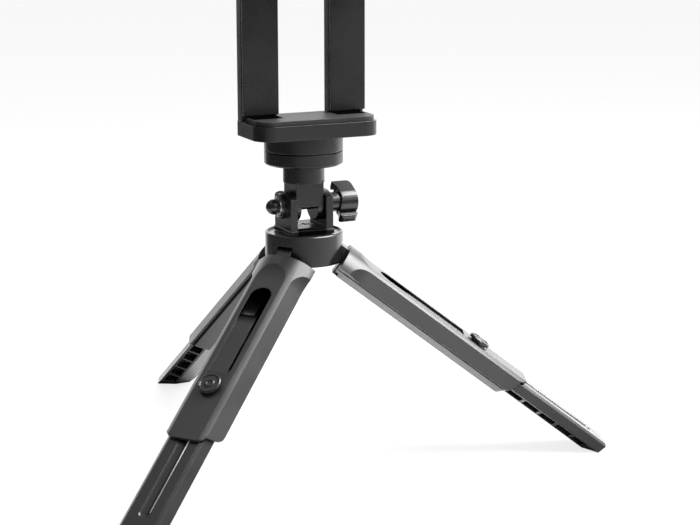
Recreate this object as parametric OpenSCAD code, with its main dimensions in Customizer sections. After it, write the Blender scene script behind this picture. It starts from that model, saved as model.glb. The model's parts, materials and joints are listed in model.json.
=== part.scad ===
// Table tripod with a sprung phone clamp: three legs that fold and slide out,
// a turning and tilting head, and a clamp on a tripod screw.
// Z is up, the hub's axis is the Z axis and the feet stand on Z = 0.
// The clamp faces -Y. Every length is in millimetres.

/* [Stance] */
// Angle of each leg from the vertical
leg_spread = 53; // [40:1:60]
// Angle between the rear leg and straight back
leg_turn = 7; // [0:1:15]

/* [Hub] */
// Diameter of the hub, and of the three folded legs together
hub_d = 38; // [37:0.5:42]
// Height of the hub, without its bottom cover
hub_h = 14; // [13.5:0.5:18]
// Depth of the recess in the hub's top
hub_dish = 0.8; // [0.4:0.1:1.2]
// Width of the rim round the hub's top
hub_rim = 1.2; // [0.8:0.1:2]
// Radius of a leg's hinge eye, which reaches out to the leg's flat facet
eye_r = 4.1; // [3.6:0.1:4.6]
// Depth of a leg's hinge below the hub's rim
hinge_drop = 8; // [8:0.1:9]
// Diameter of a hinge pin
hinge_pin_d = 3; // [2:0.1:3.5]
// Length of a hinge pin
hinge_pin_len = 15; // [13:0.5:16]
// Width of a leg's knuckle
knuckle_w = 7.4; // [6:0.1:8]
// Thickness of the hub's bottom cover
hub_cover_t = 1; // [0.8:0.1:2]

/* [Leg] */
// Depth of the leg's flat facets below the round of the folded legs
facet_deep = 1.9; // [1.5:0.1:2.4]
// Distance along the leg from the hinge to the start of the shell
shell_start = 8; // [7.6:0.1:9]
// Distance along the leg from the hinge to the end of the shell's tongue
shell_end = 117.6; // [116:0.1:122]
// How far the tongue reaches beyond the shell's sides
tongue_len = 3; // [1:0.1:8]
// Slant of the ends of the shell's sides, in degrees
shell_slant = 23; // [0:1:30]
// Wall of the leg shell
shell_wall = 1.5; // [1.3:0.1:1.8]
// Distance of the leg's innermost face from the folded tripod's axis
core_r = 3.3; // [2.5:0.1:3.5]
// Thickness of the leg's inner cover
inner_cover_t = 1.7; // [1.2:0.1:1.9]
// Gap between two folded legs
fold_gap = 0.5; // [0.4:0.1:1]

/* [Slot] */
// Width of the slot for the slider
slot_w = 11.4; // [10:0.1:12]
// Depth of the slot's track
slot_deep = 1; // [0.7:0.1:1]
// Distance along the leg from the hinge to the slot's upper end
slot_start = 27.4; // [26:0.1:30]
// Length of the open part at the slot's upper end
slot_open_len = 16.5; // [10:0.5:20]
// Width of the slit beside the track
slit_w = 2.3; // [2:0.1:3.2]

/* [Extension] */
// Distance along the leg from the hinge to the extension's tip, pulled out
tip_s = 169; // [167:0.5:176]
// How far the extension slides in
slide_travel = 47; // [30:1:47]
// Length of the extension
ext_len = 93; // [88:0.5:93]
// Clearance between the extension and the leg shell
ext_gap = 0.3; // [0.3:0.05:0.5]
// Width of the groove along the extension
groove_w = 5.5; // [4:0.1:6.5]
// Depth of the groove along the extension
groove_deep = 1.1; // [0.6:0.1:1.3]
// Wall between the pockets in the extension's two inner sides and its outer facet
pocket_out = 1.4; // [1.3:0.1:3]
// Wall between the pockets and the extension's innermost face
pocket_in = 1.1; // [1:0.1:2.5]
// Spacing of the pockets
pocket_pitch = 10.2; // [9:0.1:12]
// Wall between two pockets
pocket_rib = 1.4; // [1:0.1:3]
// Depth of the pockets
pocket_deep = 4; // [2:0.1:4.5]
// Number of pockets
pocket_count = 8; // [3:1:8]

/* [Button] */
// Diameter of the lock button
button_d = 11.2; // [10.8:0.1:12.2]
// Height of the lock button
button_h = 1.7; // [1.6:0.1:3]
// How far the lock button goes in
button_travel = 0.6; // [0.3:0.1:0.6]
// Distance along the leg from the slot's slider end to the button's centre
button_back = 8.8; // [8:0.1:10]

/* [Fork] */
// Gap between the tilt block and each ear of the fork
block_play = 0.35; // [0.3:0.05:0.8]
// Thickness of a fork ear
ear_t = 3.6; // [3:0.1:5]
// Depth of the fork, front to back
fork_depth = 20.4; // [19:0.1:21]
// Height of the fork's ears above the hub's rim
ear_h = 20; // [19:0.1:20.5]
// Height of the tilt axis above the hub's rim
tilt_z = 12.7; // [12.6:0.1:13]
// Diameter of the tilt bolt
tilt_bolt_d = 5; // [4:0.1:5.5]

/* [Head] */
// Width of the tilt block
block_w = 14.3; // [13:0.1:14.4]
// Depth of the tilt block, front to back
block_depth = 15.6; // [14:0.1:17]
// Height of the top of the tilt block above the hub's rim
block_top = 25; // [25:0.1:27]
// Diameter of the neck
neck_d = 20.2; // [18:0.1:22]
// Height of the bottom of the platform above the hub's rim
platform_z = 33; // [33:0.1:36]
// Diameter of the platform and of the clamp's base
platform_d = 38.2; // [34:0.1:38.4]
// Thickness of the platform
platform_t = 6.3; // [5:0.1:8]
// Diameter of the tripod screw
stud_d = 6.35; // [6.35:0.01:6.35]

/* [Clamp] */
// Height of the clamp's base
base_h = 7.8; // [7.4:0.1:10]
// Width of the clamp's jaws
jaw_w = 63; // [60:1:70]
// Depth of the jaws in front of the rails
jaw_reach = 20; // [16:0.5:24]
// Thickness of a jaw, without its pad
jaw_t = 7; // [6:0.1:9]
// Radius of a jaw's front corners
jaw_corner = 8.5; // [5:0.5:9]
// Thickness of a jaw pad
pad_t = 2.2; // [1.5:0.1:3]
// Width of a rail
rail_w = 17.9; // [17:0.1:20]
// Depth of a rail
rail_depth = 9; // [8.6:0.1:11]
// Height of the rails above the lower pad
rail_h = 58; // [52:1:58]
// Gap between the rails and the upper pad with the clamp closed
rail_top_gap = 4; // [2:0.5:8]
// How far the upper jaw pulls up
jaw_travel = 28; // [15:1:28]

/* [Knob] */
// Height of the tilt knob's wing, tip to tip
wing_h = 22; // [20:0.5:23.5]
// Thickness of the wing
wing_t = 5; // [3:0.1:8]
// Depth of the knob along its axis
wing_deep = 13.6; // [13:0.1:17]
// Diameter of the boss between the knob's wings
knob_boss_d = 11.6; // [10.4:0.1:14]

/* [Hidden] */

$fn = 64;

// Cutting overrun, and the clearances that recur
over = 1;
gap = 0.3;
running = 0.06;
seat = 0.05;

// Angles that the threefold shape sets
full_turn = 360;
leg_count = 3;
third_turn = full_turn / leg_count;
half_third = third_turn / 2;

// Directions of the three legs about the hub: front left, front right, rear
rear_turn = full_turn / 4 + leg_turn;
leg_azimuths = [rear_turn + third_turn, rear_turn - third_turn, rear_turn];

// Foot: the pad under the extension's tip, seen from the side of the leg
foot_len = 10;
foot_back = 1.6;
foot_t = 2.6;
foot_tip_t = 0.6;
foot_rise = 4.2;
sole_lean = 4;

hub_r = hub_d / 2;
facet_r = hub_r - facet_deep;
hinge_r = facet_r - eye_r;
hub_bottom = hub_h + hub_cover_t;

// Extension section, inside the shell's and clear of the inner cover
ext_inset = shell_wall + ext_gap;
ext_facet = facet_r - ext_inset;
ext_side_gap = 1.1;
ext_core_gap = 1;
ext_core = core_r + inner_cover_t + ext_core_gap;
ext_aside = fold_gap / 2 + inner_cover_t + ext_side_gap;
ext_start = tip_s - ext_len;

// Lowest point of a foot, measured from the hinge
foot_low_x = ext_core + foot_rise;
foot_low_s = tip_s - foot_back;
foot_drop = foot_low_s * cos(leg_spread) - (foot_low_x - hinge_r) * sin(leg_spread);
hub_z = hinge_drop + foot_drop;

// Section of one leg, folded, with the hub's axis at the origin and the
// outside of the leg towards +X. Three flat facets are cut from the round
// of the hub; the two inner sides lie on the planes between two legs.
// along: distance from the axis along the plane between two legs
// aside: distance from that plane
function on_side(along, aside) = [
    along * cos(half_third) + aside * sin(half_third),
    along * sin(half_third) - aside * cos(half_third)
];
function side_reach(x, aside) = (x - aside * sin(half_third)) / cos(half_third);
function mirrored(p) = [for (i = [len(p) - 1:-1:0]) [p[i][0], -p[i][1]]];
function closed_section(half) = concat(mirrored(half), half);

// Half section of a leg body from its core to its outer facet
function half_section(r, facet, core, aside) = let (
    turn = acos(facet / r)
) [
    [facet, r * sin(turn)],
    [r * cos(half_third - turn), r * sin(half_third - turn)],
    on_side(facet, aside),
    on_side(side_reach(core, aside), aside)
];

// Points on an arc round c from angle a0 to a1
function arc(c, r, a0, a1, n = 8) = [
    for (k = [0:n]) c + r * [cos(a0 + (a1 - a0) * k / n), sin(a0 + (a1 - a0) * k / n)]
];

// Places children, drawn folded and hanging from the hub's rim, on leg i
module leg_place(i) {
    rotate([0, 0, leg_azimuths[i]])
        translate([hinge_r, 0, hub_z - hinge_drop])
            rotate([0, -leg_spread, 0])
                translate([-hinge_r, 0, 0])
                    children();
}

// Prism of a leg section from distance s0 to s1 along the leg
module along_leg(s0, s1, points) {
    translate([0, 0, -s1])
        linear_extrude(height = s1 - s0)
            polygon(points);
}

// Round plug along the leg's outward direction at distance s
module outward_cylinder(x0, x1, d, s, y = 0) {
    translate([x0, y, -s])
        rotate([0, 90, 0])
            cylinder(h = x1 - x0, d = d);
}

// Box between two corners given as [x, y, z]
module box(a, b) {
    translate(a)
        cube(b - a);
}

// Box round the Z axis of the leg: x range, full width, s range
module leg_box(x0, x1, w, s0, s1, y = 0) {
    box([x0, y - w / 2, -s1], [x1, y + w / 2, -s0]);
}

// Hub
slot_gap = 0.4;
knuckle_slot_w = knuckle_w + 2 * slot_gap;
knuckle_slot_r = eye_r + slot_gap;
knuckle_slot_top = 5;
hub_core_r = 6.4;
hub_edge = 0.5;
pan_bolt_d = 5;
pan_bore_d = pan_bolt_d + 2 * running;
hub_screw_edge = 4.5;
hub_screw_r = hub_r - hub_screw_edge;
hub_screw_d = 2;
hub_screw_head_d = 3.6;
hub_screw_head_t = 0.6;
hub_screw_len = 6;
cover_inset = 0.6;

module knuckle_slots() {
    for (a = leg_azimuths)
        rotate([0, 0, a])
            translate([0, 0, hub_z]) {
                translate([hinge_r, knuckle_slot_w / 2, -hinge_drop])
                    rotate([90, 0, 0])
                        cylinder(h = knuckle_slot_w, r = knuckle_slot_r);
                box([hinge_r - knuckle_slot_r, -knuckle_slot_w / 2, -hub_bottom - over],
                    [hub_r + over, knuckle_slot_w / 2, -hinge_drop]);
                box([hinge_r, -knuckle_slot_w / 2, -hinge_drop - over],
                    [hub_r + over, knuckle_slot_w / 2, -knuckle_slot_top]);
            }
}

module at_screws(r) {
    for (a = leg_azimuths)
        rotate([0, 0, a + half_third])
            translate([r, 0, 0])
                children();
}

module hub_body() {
    color([0.13, 0.13, 0.135])
        difference() {
            translate([0, 0, hub_z - hub_h])
                rotate_extrude()
                    polygon([
                        [0, 0], [hub_r, 0], [hub_r, hub_h - hub_edge],
                        [hub_r - hub_edge, hub_h], [hub_r - hub_rim, hub_h],
                        [hub_r - hub_rim, hub_h - hub_dish], [0, hub_h - hub_dish]
                    ]);
            knuckle_slots();
            translate([0, 0, hub_z - hub_h - over])
                cylinder(h = hub_h + over - knuckle_slot_top, r = hub_core_r);
            translate([0, 0, hub_z - hub_h])
                cylinder(h = hub_h + over, d = pan_bore_d);
            // Saddles for the hinge pins, open at the bottom
            for (a = leg_azimuths)
                rotate([0, 0, a])
                    translate([hinge_r, 0, hub_z - hinge_drop]) {
                        translate([0, hinge_pin_len / 2, 0])
                            rotate([90, 0, 0])
                                cylinder(h = hinge_pin_len, d = hinge_pin_d);
                        box([-hinge_pin_d / 2, -hinge_pin_len / 2, hinge_drop - hub_h - over],
                            [hinge_pin_d / 2, hinge_pin_len / 2, 0]);
                    }
            at_screws(hub_screw_r)
                translate([0, 0, hub_z - hub_h - over])
                    cylinder(h = hub_screw_len + over, d = hub_screw_d);
        }
}

module hub_cover() {
    post = (hinge_pin_len - knuckle_slot_w) / 2 - gap;
    color([0.1, 0.1, 0.105])
        difference() {
            union() {
                translate([0, 0, hub_z - hub_bottom])
                    cylinder(h = hub_cover_t, r = hub_r - cover_inset);
                // Posts that close the saddles under the hinge pins
                for (a = leg_azimuths)
                    rotate([0, 0, a])
                        for (side = [-1, 1])
                            translate([hinge_r, side * (hinge_pin_len / 2 - post / 2 - seat),
                                       hub_z - hub_h - seat])
                                box([-hinge_pin_d / 2 + seat, -post / 2, 0],
                                    [hinge_pin_d / 2 - seat, post / 2,
                                     hub_h - hinge_drop - hinge_pin_d / 2]);
            }
            knuckle_slots();
            at_screws(hub_screw_r)
                translate([0, 0, hub_z - hub_bottom - over])
                    cylinder(h = hub_cover_t + 2 * over, d = hub_screw_d);
            at_screws(hub_screw_r)
                translate([0, 0, hub_z - hub_bottom - over])
                    cylinder(h = hub_screw_head_t + over, d = hub_screw_head_d);
        }
}

module cross_recess(d, t) {
    for (a = [0, 90])
        rotate([0, 0, a])
            translate([0, 0, t / 2])
                cube([d * 0.6, d * 0.15, t], center = true);
}

module hub_screws() {
    color([0.4, 0.4, 0.42])
        at_screws(hub_screw_r)
            translate([0, 0, hub_z - hub_bottom])
                difference() {
                    union() {
                        cylinder(h = hub_screw_head_t, d = hub_screw_head_d);
                        cylinder(h = hub_cover_t + hub_screw_len, d = hub_screw_d);
                    }
                    cross_recess(hub_screw_head_d, hub_screw_head_t / 2);
                }
}

module hinge_pins() {
    color([0.6, 0.6, 0.62])
        for (a = leg_azimuths)
            rotate([0, 0, a])
                translate([hinge_r, hinge_pin_len / 2, hub_z - hinge_drop])
                    rotate([90, 0, 0])
                        cylinder(h = hinge_pin_len, d = hinge_pin_d);
}

// Pan joint between the hub and the fork
web_top = 3;
pan_head_d = 8.4;
pan_head_t = 1.8;
pan_washer_d = 10;
pan_washer_t = 0.8;
pan_nut_af = 8;
pan_nut_t = 3.4;
nut_sides = 6;
hex_corner = 1 / cos(180 / nut_sides);
under_roof = hub_z - knuckle_slot_top - running;

module pan_bolt() {
    head_z = hub_z + web_top - pan_head_t;
    color([0.5, 0.5, 0.52])
        difference() {
            union() {
                translate([0, 0, head_z])
                    cylinder(h = pan_head_t, d = pan_head_d);
                translate([0, 0, under_roof - pan_washer_t - pan_nut_t])
                    cylinder(h = head_z - under_roof + pan_washer_t + pan_nut_t, d = pan_bolt_d);
            }
            translate([0, 0, hub_z + web_top - pan_head_t / 2])
                cross_recess(pan_head_d, pan_head_t);
        }
}

module pan_washer() {
    color([0.7, 0.7, 0.72])
        translate([0, 0, under_roof - pan_washer_t])
            difference() {
                cylinder(h = pan_washer_t, d = pan_washer_d);
                translate([0, 0, -over])
                    cylinder(h = pan_washer_t + 2 * over, d = pan_bore_d);
            }
}

module pan_nut() {
    color([0.6, 0.6, 0.62])
        translate([0, 0, under_roof - pan_washer_t - pan_nut_t])
            difference() {
                cylinder(h = pan_nut_t, d = pan_nut_af * hex_corner, $fn = nut_sides);
                translate([0, 0, -over])
                    cylinder(h = pan_nut_t + 2 * over, d = pan_bore_d);
            }
}

// Fork and tilt joint. Turned frame: the tilt axis is X.
fork_gap = block_w + 2 * block_play;
ear_out = fork_gap / 2 + ear_t;
ear_crown_r = 20;
foot_flare = 0.35;
foot_flare_h = 1.6;
boss_d = 12.4;
boss_l = 2.2;
boss_r = 1;
tilt_bore_d = tilt_bolt_d + 2 * running;
tilt_axis_z = hub_z + tilt_z;
washer_d = 9.8;
washer_t = 0.8;
cap_x = ear_out + boss_l + washer_t;
cap_collar_d = 7.2;
cap_collar_t = 2.2;
cap_ball_d = 7.6;
cap_ball_out = 1.8;
knob_x = ear_out + boss_r + washer_t + running;
barrel_d = 9.6;
wing_lean = 27;
// Half of the wing's outline: share of wing_deep, then share of wing_h / 2
wing_shares = [
    [0.35, 0], [0.36, 0.45], [0.23, 0.78], [0.25, 0.88], [0.32, 0.96], [0.44, 1],
    [0.56, 0.98], [0.68, 0.93], [0.78, 0.84], [0.88, 0.7], [0.96, 0.48], [1, 0.3]
];
barrel_end = knob_x + wing_shares[0][0] * wing_deep;
boss_chamfer = 1.6;
knob_nut_af = 7;
knob_nut_t = 4;

// Cylinder along X between two places, on the tilt axis
module on_tilt_axis(x0, x1, d) {
    translate([x0, 0, tilt_axis_z])
        rotate([0, 90, 0])
            cylinder(h = x1 - x0, d = d);
}

module ear_outline() {
    intersection() {
        translate([-fork_depth / 2, 0])
            square([fork_depth, ear_h]);
        translate([0, ear_h - ear_crown_r])
            circle(r = ear_crown_r, $fn = 128);
    }
}

module fork() {
    base_z = hub_z - hub_dish + gap;
    color([0.11, 0.11, 0.115])
        difference() {
            union() {
                for (side = [-1, 1])
                    translate([side * (ear_out - ear_t / 2) - ear_t / 2, 0, hub_z])
                        rotate([90, 0, 90])
                            linear_extrude(height = ear_t)
                                ear_outline();
                // Foot, kept inside the hub's rim
                intersection() {
                    union() {
                        box([-ear_out, -fork_depth / 2, base_z],
                            [ear_out, fork_depth / 2, hub_z + web_top]);
                        box([-ear_out - foot_flare, -fork_depth / 2 - foot_flare, base_z],
                            [ear_out + foot_flare, fork_depth / 2 + foot_flare,
                             hub_z + foot_flare_h]);
                    }
                    translate([0, 0, base_z])
                        cylinder(h = hub_dish + web_top, r = hub_r - hub_rim - gap);
                }
                on_tilt_axis(-ear_out - boss_l, -ear_out + over, boss_d);
                on_tilt_axis(ear_out - over, ear_out + boss_r, boss_d);
            }
            on_tilt_axis(-ear_out - boss_l - over, ear_out + boss_r + over, tilt_bore_d);
            translate([0, 0, base_z - over])
                cylinder(h = web_top + hub_dish + 2 * over, d = pan_bore_d);
            translate([0, 0, hub_z + web_top - pan_head_t])
                cylinder(h = pan_head_t + over, d = pan_head_d + 2 * seat);
        }
}

module tilt_bolt() {
    color([0.6, 0.6, 0.62])
        on_tilt_axis(-cap_x - cap_collar_t, barrel_end - gap, tilt_bolt_d);
}

module cap_nut() {
    color([0.08, 0.08, 0.085])
        translate([-cap_x, 0, tilt_axis_z])
            rotate([0, -90, 0])
                rotate_extrude()
                    difference() {
                        intersection() {
                            union() {
                                translate([0, cap_ball_out])
                                    circle(d = cap_ball_d);
                                square([cap_collar_d / 2, cap_collar_t]);
                            }
                            square(cap_ball_d);
                        }
                        square([tilt_bore_d / 2, cap_collar_t + seat]);
                    }
}

module tilt_washers() {
    color([0.6, 0.6, 0.62])
        difference() {
            union() {
                on_tilt_axis(-cap_x, washer_t - cap_x, washer_d);
                on_tilt_axis(ear_out + boss_r, ear_out + boss_r + washer_t, washer_d);
            }
            on_tilt_axis(-cap_x - over, knob_x + over, tilt_bore_d);
        }
}

// Outline of both wings, x outwards and y along the wing
module wing_outline() {
    half = [for (p = wing_shares) [knob_x + p[0] * wing_deep, p[1] * wing_h / 2]];
    polygon(concat(half, [for (i = [len(half) - 1:-1:1]) [half[i][0], -half[i][1]]]));
}

module tilt_knob() {
    boss_len = knob_x + wing_deep - barrel_end;
    color([0.15, 0.15, 0.155])
        difference() {
            union() {
                translate([0, 0, tilt_axis_z])
                    rotate([-wing_lean, 0, 0]) {
                        translate([0, wing_t / 2, 0])
                            rotate([90, 0, 0])
                                linear_extrude(height = wing_t)
                                    wing_outline();
                        translate([barrel_end, 0, 0])
                            rotate([0, 90, 0]) {
                                cylinder(h = boss_len - boss_chamfer, d = knob_boss_d);
                                translate([0, 0, boss_len - boss_chamfer])
                                    cylinder(h = boss_chamfer, d1 = knob_boss_d,
                                             d2 = knob_boss_d - 2 * boss_chamfer);
                            }
                    }
                on_tilt_axis(knob_x, barrel_end + over, barrel_d);
            }
            on_tilt_axis(knob_x - over, barrel_end, tilt_bore_d);
            translate([knob_x, 0, tilt_axis_z])
                rotate([0, 90, 0])
                    cylinder(h = knob_nut_t + seat, d = (knob_nut_af + 2 * seat) * hex_corner,
                             $fn = nut_sides);
        }
}

module knob_nut() {
    color([0.6, 0.6, 0.62])
        difference() {
            translate([knob_x, 0, tilt_axis_z])
                rotate([0, 90, 0])
                    cylinder(h = knob_nut_t, d = knob_nut_af * hex_corner, $fn = nut_sides);
            on_tilt_axis(knob_x - over, knob_x + knob_nut_t + over, tilt_bore_d);
        }
}

// Tilting head: cheeks round the bolt, block, neck and platform in one piece
cheek_t = 2.75;
head_edge = 0.7;
platform_top = platform_z + platform_t;
pad_ring_t = 0.5;
pad_ring_d = 36.4;
pad_ring_bore = 8;
stud_up = 5.2;
stud_down = 5;

module head_outline() {
    circle(d = block_depth);
    translate([-block_depth / 2, 0])
        square([block_depth, block_top - tilt_z]);
}

module tilt_head() {
    color([0.14, 0.14, 0.145])
        difference() {
            union() {
                translate([-block_w / 2, 0, tilt_axis_z])
                    rotate([90, 0, 90])
                        linear_extrude(height = block_w)
                            head_outline();
                translate([0, 0, hub_z + block_top - over])
                    cylinder(h = platform_z - block_top + 2 * over, d = neck_d);
                translate([0, 0, hub_z + platform_z])
                    rotate_extrude()
                        polygon([
                            [0, 0], [platform_d / 2 - head_edge, 0],
                            [platform_d / 2, head_edge], [platform_d / 2, platform_t],
                            [0, platform_t]
                        ]);
            }
            on_tilt_axis(-block_w, block_w, tilt_bore_d);
            box([-block_w / 2 + cheek_t, -block_depth, tilt_axis_z - block_depth],
                [block_w / 2 - cheek_t, block_depth, tilt_axis_z]);
            translate([0, 0, hub_z + platform_top - stud_down])
                cylinder(h = stud_down + over, d = stud_d + 2 * seat);
        }
}

module tripod_screw() {
    color([0.7, 0.7, 0.72])
        translate([0, 0, hub_z + platform_top - stud_down])
            cylinder(h = stud_down + stud_up, d = stud_d);
}

module platform_pad() {
    color([0.04, 0.04, 0.04])
        translate([0, 0, hub_z + platform_top])
            difference() {
                cylinder(h = pad_ring_t, d = pad_ring_d);
                translate([0, 0, -over])
                    cylinder(h = pad_ring_t + 2 * over, d = pad_ring_bore);
            }
}

// Clamp
base_z = hub_z + platform_top + pad_ring_t + running;
shelf_z = base_z + base_h;
pad_z = shelf_z + jaw_t;
grip_z = pad_z + pad_t;
rail_back = 6.7;
rail_front = rail_back - rail_depth;
jaw_front = rail_front - jaw_reach;
insert_d = 10;
insert_t = 5.4;
base_screw_x = 13;
base_screw_d = 2.5;
base_screw_head_d = 4.6;
base_screw_head_t = 1.6;
base_screw_len = 5;
pad_inset = 1.3;

module clamp_base() {
    color([0.14, 0.14, 0.145])
        difference() {
            translate([0, 0, base_z])
                cylinder(h = base_h, d = platform_d);
            translate([0, 0, base_z - over])
                cylinder(h = insert_t + over, d = insert_d + 2 * seat);
            for (side = [-1, 1])
                translate([side * base_screw_x, 0, base_z - over]) {
                    cylinder(h = base_h + 2 * over, d = base_screw_d + 2 * seat);
                    cylinder(h = base_screw_head_t + over, d = base_screw_head_d + 2 * seat);
                }
        }
}

module thread_insert() {
    color([0.75, 0.6, 0.3])
        translate([0, 0, base_z])
            difference() {
                cylinder(h = insert_t, d = insert_d);
                translate([0, 0, -over])
                    cylinder(h = insert_t + 2 * over, d = stud_d + 2 * running);
            }
}

module base_screws() {
    color([0.5, 0.5, 0.52])
        for (side = [-1, 1])
            translate([side * base_screw_x, 0, base_z])
                difference() {
                    union() {
                        cylinder(h = base_screw_head_t, d = base_screw_head_d);
                        cylinder(h = base_h + base_screw_len, d = base_screw_d);
                    }
                    cross_recess(base_screw_head_d, base_screw_head_t / 2);
                }
}

// Jaw outline in plan, drawn in by d, with its back edge at y1
module jaw_outline(d, y1) {
    r = jaw_corner - d;
    x = jaw_w / 2 - d;
    y0 = jaw_front + d;
    difference() {
        translate([-x, y0])
            square([2 * x, y1 - y0]);
        for (side = [-1, 1])
            translate([side * x, y0])
                difference() {
                    square(2 * r, center = true);
                    translate([-side * r, r])
                        circle(r = r);
                }
    }
}

// Rail section: u across the rail, v forward from its back
rail_wall = 2.2;
rail_back_wall = 1.6;
rail_plate_t = 1.5;
plate_lift = 1;
rail_step = 0.4;
rail_step_v = 3;
rail_rib_v = 6.5;
rail_groove = 0.8;
rail_open_v = rail_depth - rail_plate_t;
jaw_gap = rail_h + rail_top_gap;
rail_floor = 4;
rail_x = jaw_w / 2 - rail_w;
bar_play = 0.35;
bar_t = 4.4;
bar_w = rail_w - 2 * rail_wall - 2 * bar_play;
bar_v = rail_back_wall + (rail_open_v - rail_back_wall - bar_t) / 2;
bar_low = 3;
window_w = 6.6;
window_low = 1;
spring_d = 4.6;
spring_wire = 0.8;
spring_solid = 9.5;
lug_z = window_low + jaw_travel + spring_solid;
lug_w = 5.8;
lug_t = 2.5;

// Draws children, given across u and forward v from the back, on both rails
module on_rails() {
    for (side = [0, 1])
        mirror([side, 0, 0])
            translate([rail_x, rail_back, 0])
                mirror([0, 1, 0])
                    children();
}

module rail_section() {
    difference() {
        polygon([
            [rail_step, 0], [rail_w - rail_step, 0], [rail_w - rail_step, rail_step_v],
            [rail_w, rail_step_v], [rail_w, rail_rib_v],
            [rail_w - rail_groove, rail_rib_v], [rail_w - rail_groove, rail_open_v],
            [rail_groove, rail_open_v], [rail_groove, rail_rib_v],
            [0, rail_rib_v], [0, rail_step_v], [rail_step, rail_step_v]
        ]);
        rail_cavity();
    }
}

module rail_cavity() {
    translate([rail_wall, rail_back_wall])
        square([rail_w - 2 * rail_wall, rail_depth]);
}

// Openings in the lower jaw and its pad, from under a rail's plate forwards
hole_w = 15.2;
hole_side = 0.2;
hole_reach = 7;
hole_deep = 4.5;
module jaw_holes(z0, z1) {
    for (side = [0, 1])
        mirror([side, 0, 0])
            translate([rail_x + hole_side, rail_front - hole_reach, z0])
                cube([hole_w, hole_reach + rail_plate_t, z1 - z0]);
}

module clamp_frame() {
    color([0.13, 0.13, 0.135])
        difference() {
            union() {
                translate([0, 0, shelf_z])
                    linear_extrude(height = jaw_t)
                        jaw_outline(0, rail_back - rail_step);
                on_rails()
                    translate([0, 0, shelf_z])
                        linear_extrude(height = jaw_t + pad_t + rail_h)
                            rail_section();
                on_rails()
                    translate([rail_w / 2 - lug_w / 2, rail_back_wall - seat, grip_z + lug_z])
                        cube([lug_w, bar_v + bar_t - rail_back_wall, lug_t]);
            }
            on_rails()
                translate([0, 0, grip_z - rail_floor])
                    difference() {
                        linear_extrude(height = rail_h + rail_floor + over)
                            rail_cavity();
                        translate([rail_w / 2 - lug_w / 2, 0, rail_floor + lug_z])
                            cube([lug_w, bar_v + bar_t, lug_t]);
                    }
            jaw_holes(pad_z - hole_deep, pad_z + over);
            for (side = [-1, 1])
                translate([side * base_screw_x, 0, shelf_z - over])
                    cylinder(h = base_screw_len + seat + over, d = base_screw_d);
        }
}

module rail_plate(side) {
    color([0.12, 0.12, 0.125])
        mirror([side, 0, 0])
            translate([rail_x, rail_back, grip_z + plate_lift])
                mirror([0, 1, 0])
                    translate([0, rail_open_v, 0])
                        cube([rail_w, rail_plate_t, rail_h - plate_lift]);
}

module left_rail_plate() {
    rail_plate(1);
}

module right_rail_plate() {
    rail_plate(0);
}

module lower_pad() {
    color([0.2, 0.2, 0.205])
        difference() {
            translate([0, 0, pad_z])
                linear_extrude(height = pad_t)
                    union() {
                        jaw_outline(pad_inset, rail_front - seat);
                        translate([-rail_x + seat, rail_front - over])
                            square([2 * (rail_x - seat), rail_depth + over - rail_step]);
                    }
            jaw_holes(pad_z - over, pad_z + pad_t + over);
        }
}

module clamp_springs() {
    color([0.75, 0.75, 0.77])
        on_rails()
            translate([rail_w / 2, bar_v + bar_t / 2, grip_z + window_low])
                difference() {
                    cylinder(h = lug_z - window_low, d = spring_d);
                    translate([0, 0, -over])
                        cylinder(h = lug_z + 2 * over, d = spring_d - 2 * spring_wire);
                }
}

module upper_jaw() {
    jaw_z = grip_z + jaw_gap + pad_t;
    window_h = lug_z + lug_t + gap - window_low;
    color([0.13, 0.13, 0.135])
        union() {
            translate([0, 0, jaw_z])
                linear_extrude(height = jaw_t)
                    jaw_outline(0, rail_back - rail_step);
            on_rails()
                translate([rail_w / 2 - bar_w / 2, bar_v, grip_z - bar_low])
                    difference() {
                        cube([bar_w, bar_t, jaw_z - grip_z + bar_low + over]);
                        translate([bar_w / 2 - window_w / 2, -over, bar_low + window_low])
                            cube([window_w, bar_t + 2 * over, window_h]);
                    }
        }
}

module upper_pad() {
    color([0.2, 0.2, 0.205])
        translate([0, 0, grip_z + jaw_gap])
            linear_extrude(height = pad_t)
                jaw_outline(pad_inset, rail_front - gap);
}

// Leg pieces, all drawn folded along -Z with the hinge at s = 0
end_wall = 3.7;
scoop_r = 25;
scoop_s = 23;
leg_r = hub_r - seat;
knuckle_relief = 2.2;
knuckle_relief_w = 19;
relief_rim = 1;
tongue_x = facet_r - shell_wall;
tongue_half_w = sqrt(pow(leg_r, 2) - pow(tongue_x, 2)) - seat;
tongue_r = 5;
shell_corner_r = 4;
shell_lip = 0.8;
lip_gap = 0.35;
cover_seat = 0.1;
plate_play = 0.3;
slider_rest = slot_w / 2 + slot_gap
    - sqrt(pow(slot_w / 2, 2) - pow(slot_w / 2 - plate_play, 2));
slider_top = slot_start + slide_travel + slider_rest;
button_s = slider_top + button_back;
slot_end = button_s + slot_w / 2;
open_end = slot_start + slot_open_len;
track_x = facet_r - slot_deep;
pin_bore_d = hinge_pin_d + 2 * running;
leg_screw_s = [15, 21.5];
leg_screw_d = 2;
leg_screw_head_d = 3.8;
leg_screw_head_t = 0.8;
leg_boss_d = 4.6;
leg_screw_len = 8;

// Cutters for the flat facets, run out in a scoop towards the hub
module facet_cutters(facet, start) {
    depth = hub_r;
    for (a = [-half_third, 0, half_third])
        rotate([0, 0, a]) {
            box([facet, -depth, -shell_end - 2 * over], [facet + depth, depth, -start]);
            translate([facet + scoop_r, depth, -start])
                rotate([90, 0, 0])
                    cylinder(h = 2 * depth, r = scoop_r, $fn = 128);
        }
}

// Stadium cut in the outer face between two places along the leg
module outer_slot(x0, x1, w, s0, s1) {
    outward_cylinder(x0, x1, w, s0 + w / 2);
    outward_cylinder(x0, x1, w, s1 - w / 2);
    leg_box(x0, x1, w, s0 + w / 2, s1 - w / 2);
}

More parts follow.
